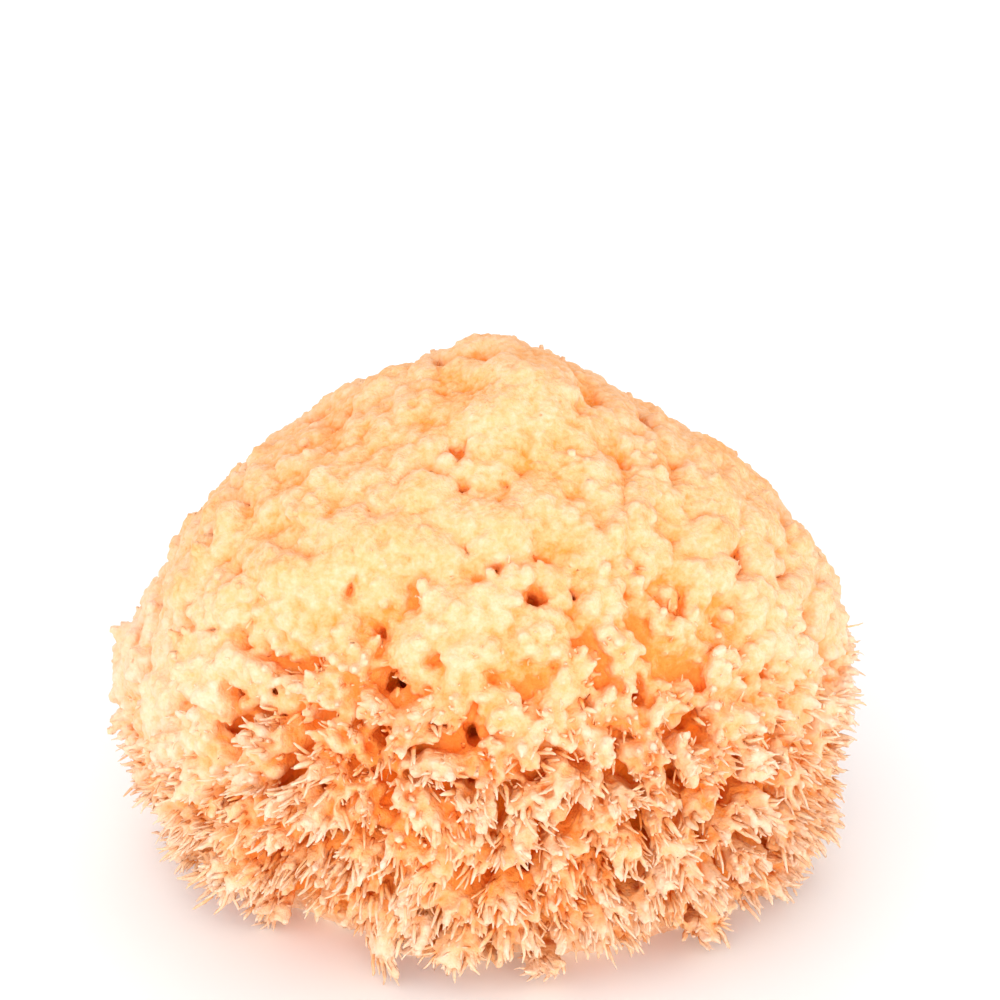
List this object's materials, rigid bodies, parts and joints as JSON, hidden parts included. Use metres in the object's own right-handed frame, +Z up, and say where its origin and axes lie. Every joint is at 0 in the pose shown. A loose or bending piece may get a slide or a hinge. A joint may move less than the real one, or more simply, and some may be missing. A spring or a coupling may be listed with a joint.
{
  "type": "sea sponge",
  "caption": "Natural wool sea sponge: a peaked dome of soft radiating tufts with dark outlets, cut flat underneath so that it rests on a shelf or bath edge.",
  "frame": {"origin": "on the flat cut face, under the middle of the sponge's outline seen from above", "axes": "+Z up from the cut face to the peak, +X along the broad width to the right, -Y out of the broad front"},
  "size_m": [0.1554, 0.1376, 0.1146],
  "materials": {
    "sponge_fibre": "matt soft fibre, pale peach on the tuft tips and deep orange in the hollows"
  },
  "bodies": {
    "root": {"sponge": "sponge_fibre"}
  },
  "joints": []
}
